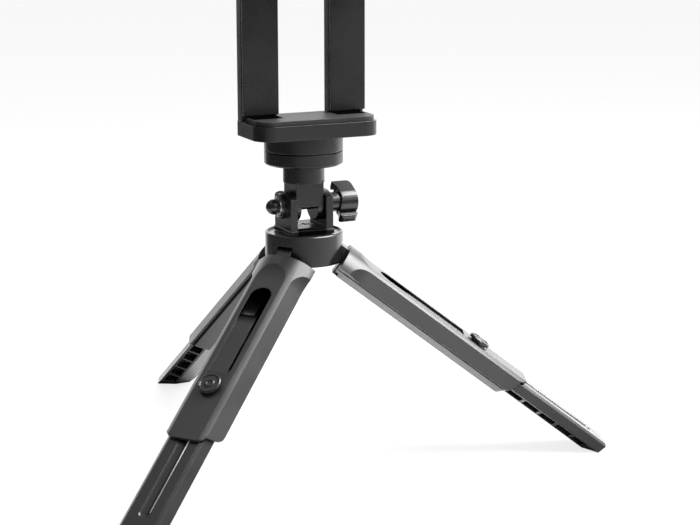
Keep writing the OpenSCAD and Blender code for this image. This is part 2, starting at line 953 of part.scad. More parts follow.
function wedge_points(core, aside) = closed_section([
    on_side(side_reach(2 * hub_r, aside), aside),
    on_side(side_reach(core, aside), aside)
]);

function cavity_points(wall) = let (
    r = leg_r - wall,
    facet = facet_r - wall,
    turn = acos(facet / r)
) closed_section([
    [facet, r * sin(turn)],
    [r * cos(half_third - turn), r * sin(half_third - turn)],
    on_side(facet, -over),
    [0, on_side(facet, -over)[1]]
]);

function side_end_at(x) = shell_end - tongue_len - (tongue_x - x) * tan(shell_slant);

// What lies beyond the rounded tongue, the slanted sides and their corners
module beyond_shell_end(back) {
    far = shell_end + hub_d;
    edge = fold_gap / 2;
    corner_s = side_end_at(facet_r * cos(half_third) + edge * sin(half_third));
    side_slant = atan(sin(half_third) * tan(shell_slant));
    corner_back = shell_corner_r * tan((90 - side_slant) / 2) + seat;
    flat_half = tongue_half_w - tongue_r;
    translate([0, 0, back]) {
        rotate([90, 0, 0])
            translate([0, 0, -hub_d])
                linear_extrude(height = 2 * hub_d)
                    polygon([
                        [-hub_r, -side_end_at(-hub_r)], [-hub_r, -far],
                        [tongue_x, -far], [tongue_x, -side_end_at(tongue_x)]
                    ]);
        translate([tongue_x, 0, -shell_end])
            rotate([90, 0, 90])
                linear_extrude(height = hub_d)
                    polygon(concat(
                        [[-hub_d, -hub_d], [hub_d, -hub_d], [hub_d, tongue_r]],
                        arc([flat_half, tongue_r], tongue_r, 0, -full_turn / 4),
                        arc([-flat_half, tongue_r], tongue_r, -full_turn / 4, -full_turn / 2),
                        [[-hub_d, tongue_r]]
                    ));
        for (side = [-1, 1])
            mirror([0, (side + 1) / 2, 0])
                rotate([0, 0, -half_third])
                    translate([0, edge + shell_corner_r + seat, corner_back - corner_s])
                        rotate([90, 0, 90])
                            linear_extrude(height = hub_d)
                                polygon(concat(
                                    [[-hub_r, 0]],
                                    arc([0, 0], shell_corner_r, full_turn / 2,
                                        3 * full_turn / 4 - side_slant),
                                    [
                                        shell_corner_r * 2 * [-sin(side_slant), -cos(side_slant)],
                                        [-hub_r, -shell_corner_r * 2]
                                    ]
                                ));
    }
}

module leg_shell(i) {
    color([0.16, 0.16, 0.165])
        leg_place(i)
            difference() {
                union() {
                    intersection() {
                        translate([0, 0, -shell_end - over])
                            cylinder(h = shell_end + over - shell_start, r = leg_r);
                        along_leg(shell_start - over, shell_end + 2 * over,
                                  wedge_points(core_r, fold_gap / 2));
                    }
                    translate([hinge_r, knuckle_w / 2, 0])
                        rotate([90, 0, 0])
                            cylinder(h = knuckle_w, r = eye_r);
                    leg_box(hinge_r - eye_r, facet_r, knuckle_w, 0, shell_start + over);
                }
                facet_cutters(facet_r, scoop_s);
                beyond_shell_end(0);
                // Relief of the end face beside the knuckle
                intersection() {
                    translate([0, 0, -shell_start - knuckle_relief])
                        cylinder(h = shell_start + knuckle_relief, r = leg_r - relief_rim);
                    for (side = [-1, 1])
                        leg_box(0, hub_r, (knuckle_relief_w - knuckle_w) / 2,
                                0, shell_start + knuckle_relief,
                                side * (knuckle_relief_w + knuckle_w) / 4);
                }
                // Rebate for the inner cover, which leaves a thin lip
                for (a = [-half_third, half_third])
                    rotate([0, 0, a])
                        leg_box(facet_r - shell_wall - over, facet_r - shell_lip,
                                fold_gap + 2 * (inner_cover_t + cover_seat),
                                shell_start + end_wall - seat, shell_end + over);
                difference() {
                    along_leg(shell_start + end_wall, shell_end + over, cavity_points(shell_wall));
                    for (s = leg_screw_s)
                        outward_cylinder(core_r + inner_cover_t, facet_r, leg_boss_d, s);
                }
                for (s = leg_screw_s)
                    outward_cylinder(core_r, core_r + leg_screw_len, leg_screw_d, s);
                outer_slot(track_x, facet_r + over, slot_w, slot_start, slot_end);
                outward_cylinder(ext_facet, facet_r, slot_w, slot_start + slot_w / 2);
                leg_box(ext_facet, facet_r, slot_w, slot_start + slot_w / 2, open_end);
                leg_box(ext_facet, facet_r, slit_w, slot_start + slot_w / 2, slot_end - slot_w / 2,
                        slot_w / 2 - slit_w / 2);
                translate([hinge_r, knuckle_w, 0])
                    rotate([90, 0, 0])
                        cylinder(h = 2 * knuckle_w, d = pin_bore_d);
            }
}

function cover_points() = let (
    rim = facet_r - shell_lip - lip_gap,
    out = fold_gap / 2,
    in = fold_gap / 2 + inner_cover_t,
    core = core_r + inner_cover_t
) concat(
    [for (p = [on_side(side_reach(core_r, out), out), on_side(rim, out)]) [p[0], -p[1]]],
    [for (p = [on_side(rim, in), on_side(side_reach(core, in), in)]) [p[0], -p[1]]],
    [on_side(side_reach(core, in), in), on_side(rim, in)],
    [on_side(rim, out), on_side(side_reach(core_r, out), out)]
);

module leg_inner_cover(i) {
    color([0.2, 0.2, 0.205])
        leg_place(i)
            difference() {
                along_leg(shell_start + end_wall + cover_seat, shell_end, cover_points());
                beyond_shell_end(cover_inset);
                for (s = leg_screw_s) {
                    outward_cylinder(0, hub_r, leg_screw_d + 2 * seat, s);
                    outward_cylinder(0, core_r + leg_screw_head_t, leg_screw_head_d + 2 * seat, s);
                }
            }
}

module leg_screws(i) {
    color([0.4, 0.4, 0.42])
        leg_place(i)
            for (s = leg_screw_s)
                difference() {
                    union() {
                        outward_cylinder(core_r, core_r + leg_screw_head_t, leg_screw_head_d, s);
                        outward_cylinder(core_r, core_r + leg_screw_len, leg_screw_d, s);
                    }
                    translate([core_r, 0, -s])
                        rotate([0, 90, 0])
                            cross_recess(leg_screw_head_d, leg_screw_head_t / 2);
                }
}

// Extension
groove_r = (pow(groove_w / 2, 2) + pow(groove_deep, 2)) / (2 * groove_deep);
groove_stop = 11.5;
groove_end = tip_s - groove_stop;
tip_round = 1.2;
pocket_side = side_reach(ext_core, ext_aside) + pocket_in;
pocket_end = ext_facet - pocket_out;
pocket_stop = 7.3;
slider_web_w = 2.2;
slider_web_deep = 2;
slider_web_len = 4.7;
slider_web_y = slot_w / 2 - slit_w / 2;
foot_s0 = tip_s - foot_len;
sole_angle = full_turn / 4 - leg_spread - sole_lean;
ext_points = closed_section(half_section(leg_r - ext_inset, ext_facet, ext_core, ext_aside));

// Side view of the extension: x outwards, then height
module ext_side() {
    rotate([90, 0, 0])
        translate([0, 0, -hub_r])
            linear_extrude(height = 2 * hub_r)
                polygon(concat(
                    [
                        [0, -ext_start + over], [0, -foot_s0],
                        [ext_core + foot_t, -foot_s0], [foot_low_x + foot_tip_t, -foot_low_s]
                    ],
                    arc([ext_facet - tip_round, tip_round - tip_s], tip_round, -90, 0),
                    [[ext_facet, -ext_start + over]]
                ));
}

// Pad let in under the tip, with its sole near the floor's slope
module leg_foot(i) {
    color([0.03, 0.03, 0.03])
        leg_place(i)
            intersection() {
                along_leg(foot_s0 + seat, foot_low_s, ext_points);
                rotate([90, 0, 0])
                    translate([0, 0, -hub_r])
                        linear_extrude(height = 2 * hub_r)
                            polygon([
                                [foot_low_x, -foot_low_s],
                                [foot_low_x + foot_tip_t - seat, -foot_low_s],
                                [ext_core + foot_t - seat, -foot_s0],
                                [0, -foot_s0],
                                [0, foot_low_x / tan(sole_angle) - foot_low_s]
                            ]);
            }
}

module slider_web(d = 0) {
    leg_box(ext_facet - slider_web_deep - d, plate_low + gap, slider_web_w + 2 * d,
            button_s - gap - slider_web_len - d, button_s - gap + d, slider_web_y);
}

module leg_extension(i) {
    color([0.15, 0.15, 0.155])
        leg_place(i)
            difference() {
                intersection() {
                    along_leg(ext_start, tip_s, ext_points);
                    ext_side();
                }
                // Groove along the outer face, with a rounded end
                translate([ext_facet - groove_deep + groove_r, 0, -groove_end])
                    cylinder(h = groove_end - ext_start + over, r = groove_r);
                translate([ext_facet - groove_deep + groove_r, 0, -groove_end])
                    sphere(r = groove_r);
                // Row of pockets in each of the two inner sides
                for (a = [-half_third, half_third])
                    rotate([0, 0, a])
                        for (k = [0:pocket_count - 1]) {
                            s1 = tip_s - pocket_stop - k * pocket_pitch;
                            leg_box(pocket_side, pocket_end, 2 * (ext_aside + pocket_deep),
                                    s1 - pocket_pitch + pocket_rib, s1);
                        }
                slider_web(seat);
            }
}

// Slider and lock button
plate_low = track_x + gap;
plate_top = facet_r + seat;
turret_d = 8.6;
turret_h = 0.8;
spring_pocket_d = 5.4;
spring_pocket_x = plate_low + gap;
button_low = plate_top + button_travel + gap;
button_bore_d = 9.2;
button_roof = plate_top + turret_h + button_travel + gap;
stem_d = 2.8;
stem_bore_d = stem_d + 0.3;
button_edge = 0.5;
button_dish = 0.35;
button_dish_r = 4.6;
button_ring_r = 2.6;
button_dot_r = 1;
button_spring_d = 5;
button_spring_wire = 0.5;

module leg_slider(i) {
    w = slot_w - 2 * plate_play;
    color([0.12, 0.12, 0.125])
        leg_place(i)
            difference() {
                union() {
                    outward_cylinder(plate_low, plate_top, w, button_s);
                    leg_box(plate_low, plate_top, w, slider_top, button_s);
                    outward_cylinder(plate_low, plate_top + turret_h, turret_d, button_s);
                    slider_web();
                }
                outward_cylinder(spring_pocket_x, plate_top + turret_h + over, spring_pocket_d,
                                 button_s);
                outward_cylinder(plate_low - over, plate_top, stem_bore_d, button_s);
            }
}

module leg_button(i) {
    r = button_d / 2;
    top = button_h;
    roof = button_roof - button_low;
    color([0.17, 0.17, 0.175])
        leg_place(i)
            translate([button_low, 0, -button_s])
                rotate([0, 90, 0])
                    rotate_extrude()
                        polygon([
                            [0, spring_pocket_x - button_low + button_travel + seat],
                            [stem_d / 2, spring_pocket_x - button_low + button_travel + seat],
                            [stem_d / 2, roof], [button_bore_d / 2, roof],
                            [button_bore_d / 2, 0], [r, 0],
                            [r, top - button_edge], [r - button_edge, top],
                            [button_dish_r, top], [button_dish_r - button_dish, top - button_dish],
                            [button_ring_r, top - button_dish], [button_ring_r - button_dish, top],
                            [button_dot_r + button_dish, top], [button_dot_r, top - button_dish],
                            [0, top - button_dish]
                        ]);
}

module leg_spring(i) {
    color([0.7, 0.7, 0.72])
        leg_place(i)
            difference() {
                outward_cylinder(spring_pocket_x, button_roof - button_travel - running,
                                 button_spring_d, button_s);
                outward_cylinder(0, hub_d, button_spring_d - 2 * button_spring_wire, button_s);
            }
}

hub_body();
hub_cover();
hub_screws();
hinge_pins();
pan_bolt();
pan_washer();
pan_nut();
fork();
tilt_bolt();
cap_nut();
tilt_washers();
tilt_knob();
knob_nut();
tilt_head();
tripod_screw();
platform_pad();
clamp_base();
thread_insert();
base_screws();
clamp_frame();
left_rail_plate();
right_rail_plate();
lower_pad();
clamp_springs();
upper_jaw();
upper_pad();
leg_shell(0);  // leg_a_shell
leg_inner_cover(0);  // leg_a_inner_cover
leg_screws(0);  // leg_a_screws
leg_extension(0);  // leg_a_extension
leg_slider(0);  // leg_a_slider
leg_button(0);  // leg_a_button
leg_spring(0);  // leg_a_spring
leg_foot(0);  // leg_a_foot
leg_shell(1);  // leg_b_shell
leg_inner_cover(1);  // leg_b_inner_cover
leg_screws(1);  // leg_b_screws
leg_extension(1);  // leg_b_extension
leg_slider(1);  // leg_b_slider
leg_button(1);  // leg_b_button
leg_spring(1);  // leg_b_spring
leg_foot(1);  // leg_b_foot
leg_shell(2);  // leg_c_shell
leg_inner_cover(2);  // leg_c_inner_cover
leg_screws(2);  // leg_c_screws
leg_extension(2);  // leg_c_extension
leg_slider(2);  // leg_c_slider
leg_button(2);  // leg_c_button
leg_spring(2);  // leg_c_spring
leg_foot(2);  // leg_c_foot
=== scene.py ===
"""Looks for the table tripod with a phone clamp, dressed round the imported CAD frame.

Row frame: metres, +Z up, origin on the hub's axis at floor level, clamp facing -Y.
"""

import json
import math

import bmesh
import bpy
from mathutils import Matrix, Vector


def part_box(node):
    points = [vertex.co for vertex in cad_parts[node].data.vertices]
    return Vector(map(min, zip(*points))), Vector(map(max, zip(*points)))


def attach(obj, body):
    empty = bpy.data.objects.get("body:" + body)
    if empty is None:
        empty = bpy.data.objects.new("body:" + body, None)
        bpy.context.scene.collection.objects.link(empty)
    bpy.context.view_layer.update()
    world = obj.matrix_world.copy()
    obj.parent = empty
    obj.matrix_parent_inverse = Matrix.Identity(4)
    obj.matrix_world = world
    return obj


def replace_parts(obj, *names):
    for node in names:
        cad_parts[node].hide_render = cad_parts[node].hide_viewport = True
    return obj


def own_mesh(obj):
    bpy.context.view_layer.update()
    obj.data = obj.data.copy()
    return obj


MM = 0.001

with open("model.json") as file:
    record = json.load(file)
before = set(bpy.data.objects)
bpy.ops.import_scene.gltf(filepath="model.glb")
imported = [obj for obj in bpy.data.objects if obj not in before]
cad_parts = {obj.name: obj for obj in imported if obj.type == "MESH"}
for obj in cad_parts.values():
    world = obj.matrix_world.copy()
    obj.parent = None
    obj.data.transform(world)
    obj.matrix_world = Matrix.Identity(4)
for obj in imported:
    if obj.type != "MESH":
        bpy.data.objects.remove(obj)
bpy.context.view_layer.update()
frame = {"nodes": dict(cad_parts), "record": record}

# ---------------------------------------------------------------- places

HUB_Z = Vector(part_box("hub_body")[1]).z
LEG_SPREAD = math.radians(53)
LEG_AZIMUTH = {"a": math.radians(217), "b": math.radians(-23), "c": math.radians(97)}
HINGE_R = 13 * MM
HINGE_DROP = 8 * MM

# On a folded leg: X away from the hub's axis, distances down the leg from the hinge
FACET_R = 17.1 * MM
SLOT_OPEN_END = 43.9 * MM
SLOT_FLOOR_HALF_W = 5.8 * MM
# Painted shade on the slot's floor deepens over this length, up to the open end
PAINTED_SHADE_FADE = 6 * MM
INNER_COVER_OUT = 4.6 * MM
KNUCKLE_END = 22 * MM
# Painted shade along the side seams: (middle, half width) on the side faces
PAINTED_SEAM_BANDS = [(15.1 * MM, 0.75 * MM), (16.85 * MM, 0.1 * MM)]
SIDE_FACE_OUT = 2.2 * MM
EXT_FACET = 15.3 * MM
GROOVE_EDGE = 2.75 * MM
GROOVE_FROM = 77 * MM
GROOVE_TO = 157 * MM
BUTTON_S = 87.48 * MM


def leg_matrix(leg):
    """Places a piece drawn folded along -Z, hinge at s = 0, on its spread leg."""
    return (
        Matrix.Rotation(LEG_AZIMUTH[leg], 4, "Z")
        @ Matrix.Translation((HINGE_R, 0, HUB_Z - HINGE_DROP))
        @ Matrix.Rotation(-LEG_SPREAD, 4, "Y")
        @ Matrix.Translation((-HINGE_R, 0, 0))
    )


# ------------------------------------------------------------- materials


def new_material(name):
    """A fresh node material: (material, node tree, its Principled shader)."""
    material = bpy.data.materials.new(name)
    material.use_nodes = True
    tree = material.node_tree
    return material, tree, tree.nodes["Principled BSDF"]


def math_node(tree, operation, first, second):
    """Output of a math node on two inputs, each a number or a node's output."""
    node = tree.nodes.new("ShaderNodeMath")
    node.operation = operation
    for socket, value in zip(node.inputs, (first, second)):
        if isinstance(value, (int, float)):
            socket.default_value = value
        else:
            tree.links.new(value, socket)
    return node.outputs[0]


def ramp(tree, value, start, end, low, high):
    """Value between start and end carried smoothly over to low..high, held outside."""
    node = tree.nodes.new("ShaderNodeMapRange")
    node.interpolation_type = "SMOOTHSTEP"
    node.inputs["From Min"].default_value = start
    node.inputs["From Max"].default_value = end
    node.inputs["To Min"].default_value = low
    node.inputs["To Max"].default_value = high
    tree.links.new(value, node.inputs["Value"])
    return node.outputs["Result"]


def object_coords(tree):
    """Place in the object's own space, which is the row frame."""
    return tree.nodes.new("ShaderNodeTexCoord").outputs["Object"]


def object_noise(tree, scale, detail=2.0, roughness=0.5):
    """Noise in object space, so it rides with the piece."""
    noise = tree.nodes.new("ShaderNodeTexNoise")
    noise.inputs["Scale"].default_value = scale
    noise.inputs["Detail"].default_value = detail
    noise.inputs["Roughness"].default_value = roughness
    tree.links.new(object_coords(tree), noise.inputs["Vector"])
    return noise.outputs["Fac"]


def two_tone(tree, value, dark, light):
    """Colour that drifts between two tones."""
    node = tree.nodes.new("ShaderNodeMix")
    node.data_type = "RGBA"
    node.inputs[6].default_value = (*dark, 1)
    node.inputs[7].default_value = (*light, 1)
    tree.links.new(value, node.inputs["Factor"])
    return node.outputs[2]


def scaled_color(tree, color, factor):
    """Colour times a factor."""
    node = tree.nodes.new("ShaderNodeVectorMath")
    node.operation = "SCALE"
    tree.links.new(color, node.inputs[0])
    tree.links.new(factor, node.inputs["Scale"])
    return node.outputs[0]


def rounded_bump(tree, shader, height, strength, distance, edge):
    """Bump from a height over softened edges."""
    bevel = tree.nodes.new("ShaderNodeBevel")
    bevel.samples = 6
    bevel.inputs["Radius"].default_value = edge
    bump = tree.nodes.new("ShaderNodeBump")
    bump.inputs["Strength"].default_value = strength
    bump.inputs["Distance"].default_value = distance
    tree.links.new(height, bump.inputs["Height"])
    tree.links.new(bevel.outputs["Normal"], bump.inputs["Normal"])
    tree.links.new(bump.outputs["Normal"], shader.inputs["Normal"])


GRAIN_DEEP = 0.05 * MM
GLOSS_DRIFT = 0.015


def moulded(name, tone, rough, grain=0.25, edge=0.3 * MM, spread=0.2, gloss=0.5,
            pitch=5200.0, shade=None):
    """Moulded or coated black: fine grain, a slow drift of tone and gloss.

    shade: makes a factor from the node tree that darkens colour and gloss, as painted shade.
    """
    material, tree, shader = new_material(name)
    drift = ramp(tree, object_noise(tree, 60.0, 3.0), 0.3, 0.7, 0, 1)
    fine = object_noise(tree, pitch, 2.0, 0.6)
    lighter = tuple(c * (1 + spread) for c in tone)
    darker = tuple(c * (1 - spread) for c in tone)
    color = two_tone(tree, drift, darker, lighter)
    if shade:
        factor = shade(tree)
        color = scaled_color(tree, color, factor)
        tree.links.new(math_node(tree, "MULTIPLY", factor, gloss),
                       shader.inputs["Specular IOR Level"])
    else:
        shader.inputs["Specular IOR Level"].default_value = gloss
    tree.links.new(color, shader.inputs["Base Color"])
    tree.links.new(ramp(tree, drift, 0, 1, rough - GLOSS_DRIFT, rough + GLOSS_DRIFT),
                   shader.inputs["Roughness"])
    rounded_bump(tree, shader, fine, grain, GRAIN_DEEP, edge)
    return material


def metal(name, tone, rough):
    """Plated steel or brass with faint turning marks."""
    material, tree, shader = new_material(name)
    shader.inputs["Metallic"].default_value = 1.0
    drift = ramp(tree, object_noise(tree, 400.0, 4.0), 0.3, 0.7, 0, 1)
    lighter = tuple(min(1.0, c * 1.1) for c in tone)
    darker = tuple(c * 0.85 for c in tone)
    tree.links.new(two_tone(tree, drift, darker, lighter), shader.inputs["Base Color"])
    tree.links.new(ramp(tree, drift, 0, 1, rough - 0.06, rough + 0.08),
                   shader.inputs["Roughness"])
    rounded_bump(tree, shader, object_noise(tree, 3000.0), 0.15, 0.03 * MM, 0.15 * MM)
    return material


# Depth of the painted shade in the legs' slots and seams
PAINTED_SHADE_DEPTH = 0.97
# Painted shade on the top of the fork's web: its depth and the mask's size
PAINTED_WEB_SHADE = 0.85
WEB_HALF_W = 7.3 * MM
WEB_TOP = 3.1 * MM
MASK_BLUR = 0.2 * MM


def painted_web_shade(tree):
    """Factor of painted shade: darkens colour and gloss on the top of the fork's web, between
    its ears.
    """
    split = tree.nodes.new("ShaderNodeSeparateXYZ")
    tree.links.new(object_coords(tree), split.inputs[0])
    across = math_node(tree, "ABSOLUTE", split.outputs["X"], 0)
    top = HUB_Z + WEB_TOP
    within = math_node(tree, "MULTIPLY",
                       ramp(tree, across, WEB_HALF_W, WEB_HALF_W + MASK_BLUR, 1, 0),
                       ramp(tree, split.outputs["Z"], top, top + MASK_BLUR, 1, 0))
    return math_node(tree, "SUBTRACT", 1, math_node(tree, "MULTIPLY", within, PAINTED_WEB_SHADE))


def painted_slot_shade(leg):
    """Factor of painted shade: darkens the slot's floor towards its open end, and along the
    side seams.
    """
    inverse = leg_matrix(leg).inverted()

    def shade(tree):
        mapping = tree.nodes.new("ShaderNodeMapping")
        mapping.inputs["Location"].default_value = inverse.translation
        mapping.inputs["Rotation"].default_value = inverse.to_euler()
        tree.links.new(object_coords(tree), mapping.inputs["Vector"])
        split = tree.nodes.new("ShaderNodeSeparateXYZ")
        tree.links.new(mapping.outputs[0], split.inputs[0])
        out, down = split.outputs["X"], split.outputs["Z"]
        across = math_node(tree, "ABSOLUTE", split.outputs["Y"], 0)
        floor = math_node(
            tree, "MULTIPLY",
            ramp(tree, out, FACET_R - 0.35 * MM, FACET_R - 0.1 * MM, 1, 0),
            ramp(tree, across, SLOT_FLOOR_HALF_W, SLOT_FLOOR_HALF_W + MASK_BLUR, 1, 0),
        )
        # Not the inner cover's outside, nor the knuckle
        floor = math_node(tree, "MULTIPLY", floor,
                          ramp(tree, out, INNER_COVER_OUT, INNER_COVER_OUT + 0.3 * MM, 0, 1))
        floor = math_node(tree, "MULTIPLY", floor,
                          ramp(tree, down, -KNUCKLE_END - 4 * MM, -KNUCKLE_END, 1, 0))
        # Painted shade on the slot's floor, deepening towards the open end
        fade = ramp(tree, down, -SLOT_OPEN_END - PAINTED_SHADE_FADE, -SLOT_OPEN_END, 0, PAINTED_SHADE_DEPTH)
        # The leg's side faces lean 60 degrees: along runs in them, aside stands off them
        along = math_node(tree, "ADD", math_node(tree, "MULTIPLY", out, 0.5),
                          math_node(tree, "MULTIPLY", across, math.sqrt(0.75)))
        aside = math_node(tree, "SUBTRACT",
                          math_node(tree, "MULTIPLY", out, math.sqrt(0.75)),
                          math_node(tree, "MULTIPLY", across, 0.5))
        # Painted shade in bands along the side seams
        bands = []
        for middle, half in PAINTED_SEAM_BANDS:
            off = math_node(tree, "ABSOLUTE", math_node(tree, "SUBTRACT", along, middle), 0)
            bands.append(ramp(tree, off, half, half + 0.1 * MM, PAINTED_SHADE_DEPTH, 0))
        seam_shade = math_node(tree, "MULTIPLY", math_node(tree, "MAXIMUM", *bands),
                         ramp(tree, aside, SIDE_FACE_OUT, SIDE_FACE_OUT + MASK_BLUR, 1, 0))
        return math_node(
            tree, "MULTIPLY",
            math_node(tree, "SUBTRACT", 1, math_node(tree, "MULTIPLY", floor, fade)),
            math_node(tree, "SUBTRACT", 1, seam_shade),
        )

    return shade


def leg_coat_painted_shade(name, shade=None):
    """The legs' satin coat, with painted shade when one is given."""
    return moulded(name, (0.018, 0.018, 0.0185), 0.3, grain=0.18, spread=0.08, pitch=3400.0,
                   shade=shade)


MATTE_TONE = (0.009, 0.009, 0.0093)
SOFT_EDGE = 0.4 * MM
MATERIALS = {
    "leg_grey": leg_coat_painted_shade("leg_coat_painted_shade"),
    "satin_black": moulded("satin_black", (0.01, 0.01, 0.0103), 0.24, grain=0.12,
                           edge=SOFT_EDGE, spread=0.1),
    "matte_black": moulded("matte_black", MATTE_TONE, 0.28, grain=0.15, edge=SOFT_EDGE,
                           spread=0.1),
    "gloss_black": moulded("gloss_black", (0.012, 0.012, 0.0125), 0.16, grain=0.05),
    "grip_rubber": moulded("grip_rubber", (0.028, 0.028, 0.029), 0.5, grain=0.4, gloss=0.25),
    "rubber": moulded("foot_rubber", (0.01, 0.01, 0.01), 0.75, grain=0.5, gloss=0.3),
    "steel": metal("plated_steel", (0.5, 0.5, 0.51), 0.3),
    "dark_steel": metal("blackened_steel", (0.09, 0.09, 0.092), 0.4),
    "brass": metal("turned_brass", (0.7, 0.53, 0.25), 0.3),
}


def dress(obj, slot, material=None):
    """Gives a piece its slot's material, or another one of the same slot."""
    obj.data.materials.clear()
    obj.data.materials.append(material or MATERIALS[slot])


for part in frame["record"]["subparts"]:
    dress(frame["nodes"][part["node"]], part["material_slot"])
# The fork, with painted shade on the top of its web
dress(frame["nodes"]["fork"], "matte_black",
      moulded("fork_black_painted_shade", MATTE_TONE, 0.26, grain=0.15, edge=SOFT_EDGE, spread=0.1,
              shade=painted_web_shade))
# Each leg's shell and inner cover: the satin coat with painted shade in the slot and along the
# side seams
for leg in LEG_AZIMUTH:
    coat = leg_coat_painted_shade(f"leg_coat_painted_shade_{leg}", painted_slot_shade(leg))
    for part in ("shell", "inner_cover"):
        dress(frame["nodes"][f"leg_{leg}_{part}"], "leg_grey", coat)

# --------------------------------------------------------- pieces in mesh


def mesh_object(name, verts, faces, body, slot, matrix=None, smooth=True):
    """A new piece from vertices and faces, riding a body, in a record slot's finish."""
    mesh = bpy.data.meshes.new(name)
    mesh.from_pydata(verts, [], faces)
    if matrix:
        mesh.transform(matrix)
    mesh.validate()
    if smooth:
        mesh.shade_smooth()
    obj = bpy.data.objects.new(name, mesh)
    bpy.context.collection.objects.link(obj)
    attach(obj, body)
    dress(obj, slot)
    return obj


def sweep(rings):
    """Skin over equal closed rings, with a fan over each end."""
    count = len(rings[0])
    verts = [v for ring in rings for v in ring]
    faces = [
        (r * count + k, r * count + (k + 1) % count,
         (r + 1) * count + (k + 1) % count, (r + 1) * count + k)
        for r in range(len(rings) - 1)
        for k in range(count)
    ]
    faces.append(tuple(range(count))[::-1])
    faces.append(tuple(range((len(rings) - 1) * count, len(rings) * count)))
    return verts, faces


COIL_SIDES = 10
COIL_STEPS = 28
CLOSED_TURNS = 0.9


def circle(count):
    """Angles of a ring's points."""
    return (2 * math.pi * i / count for i in range(count))


def coil(radius, wire, start, end, turns, x=0.0, y=0.0):
    """Wire wound along Z between two heights, with a flat turn at each end."""
    steps = int(turns * COIL_STEPS)
    rings = []
    for k in range(steps + 1):
        share = k / steps
        turn = share * turns * 2 * math.pi
        climb = min(max((share * turns - CLOSED_TURNS) / (turns - 2 * CLOSED_TURNS), 0), 1)
        z = start + wire / 2 + (end - start - wire) * climb
        out = Vector((math.cos(turn), math.sin(turn), 0))
        centre = Vector((x, y, z)) + out * radius
        rings.append([
            centre + (out * math.cos(a) + Vector((0, 0, 1)) * math.sin(a)) * wire / 2
            for a in circle(COIL_SIDES)
        ])
    return sweep(rings)


def joined(*parts):
    """Several (vertices, faces) as one."""
    verts, faces = [], []
    for part_verts, part_faces in parts:
        base = len(verts)
        verts += part_verts
        faces += [tuple(base + i for i in face) for face in part_faces]
    return verts, faces


# Clamp springs: two coils filling the CAD springs' box
SPRING_WIRE = 0.7 * MM
SPRING_TURNS = 13
spring_low, spring_high = (Vector(v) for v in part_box("clamp_springs"))
spring_d = spring_high.y - spring_low.y
spring_x = spring_high.x - spring_d / 2
spring_y = (spring_high.y + spring_low.y) / 2
coils = joined(*[
    coil((spring_d - SPRING_WIRE) / 2, SPRING_WIRE, spring_low.z, spring_high.z, SPRING_TURNS,
         side * spring_x, spring_y)
    for side in (-1, 1)
])
clamp_springs = mesh_object("clamp_coils", *coils, "clamp", "steel")
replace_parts(clamp_springs, "clamp_springs")
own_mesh(clamp_springs)

# Button springs, wound along the leg's outward direction
BUTTON_WIRE = 0.4 * MM
BUTTON_COIL_R = 2.2 * MM
BUTTON_COIL_FROM, BUTTON_COIL_TO = 16.7 * MM, 18.15 * MM
BUTTON_TURNS = 3
for leg in LEG_AZIMUTH:
    outward = leg_matrix(leg) @ Matrix.Translation((0, 0, -BUTTON_S)) @ Matrix.Rotation(
        math.pi / 2, 4, "Y")
    wound = coil(BUTTON_COIL_R, BUTTON_WIRE, BUTTON_COIL_FROM, BUTTON_COIL_TO, BUTTON_TURNS)
    spring = mesh_object(f"button_coil_{leg}", *wound, f"extension_{leg}", "steel", outward)
    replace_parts(spring, f"leg_{leg}_spring")

# Marks beside each slot: a row of small moulded pips on the flat at each side
SMALL_SIDES = 12
PIP_R = 0.3 * MM
PIP_RISE = 0.2 * MM
PIP_SUNK = 0.05 * MM
PIP_FROM = 33 * MM
PIP_PITCH = 13.8 * MM
PIP_COUNT = 4
PIP_ROWS = (-6.1 * MM, 7.7 * MM)


def pip(x, y, s):
    """A small dome on the flat, in four rings."""
    rings = []
    for k in range(4):
        angle = k * math.pi / 8
        around = PIP_R * math.cos(angle)
        rings.append([
            Vector((x + PIP_RISE * math.sin(angle), y + around * math.cos(a),
                    -s + around * math.sin(a)))
            for a in circle(SMALL_SIDES)
        ])
    return sweep(rings)


for leg in LEG_AZIMUTH:
    pips = [
        pip(FACET_R - PIP_SUNK, y, PIP_FROM + k * PIP_PITCH)
        for y in PIP_ROWS
        for k in range(PIP_COUNT)
    ]
    mesh_object(f"slot_pips_{leg}", *joined(*pips), f"leg_{leg}", "leg_grey", leg_matrix(leg))

# Bead along one edge of each extension's groove, coloured light grey as a painted glint
BEAD_R = 0.32 * MM
BEAD_SUNK = 0.12 * MM
painted_glint = moulded("painted_glint_edge", (0.5, 0.5, 0.5), 0.25, grain=0.05)
for leg in LEG_AZIMUTH:
    rings = [
        [Vector((EXT_FACET - BEAD_SUNK + BEAD_R * math.cos(a),
                 GROOVE_EDGE + BEAD_R * math.sin(a), -s))
         for a in circle(SMALL_SIDES)]
        for s in (GROOVE_FROM, GROOVE_TO)
    ]
    bead = mesh_object(f"painted_glint_bead_{leg}", *sweep(rings), f"extension_{leg}", "satin_black",
                       leg_matrix(leg))
    dress(bead, "satin_black", painted_glint)

# Tilt knob: a boss with one wing leaning back and one leaning forward
knob_low, knob_high = (Vector(v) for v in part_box("tilt_knob"))
bolt_low, bolt_high = (Vector(v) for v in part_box("tilt_bolt"))
AXIS_Z = (bolt_low.z + bolt_high.z) / 2
KNOB_X = knob_low.x
KNOB_DEEP = knob_high.x - knob_low.x
BARREL_SHARE = 0.35
WING_LEAN = math.radians(63)
BOSS_R = 6.1 * MM
WING_TIP = 9.7 * MM
WING_BACK = 2.9 * MM
WING_ROUND = 1.1 * MM
WING_SHOULDER = 1.2 * MM
WING_CUT = 0.4 * MM
OUTLINE_SPARE = 1.02
LEDGES = (0.85 * MM, 2.45 * MM)
LEDGE_DEEP = 1.1 * MM
LEDGE_HALF_H = 0.75 * MM
ROUND_STEPS = 9


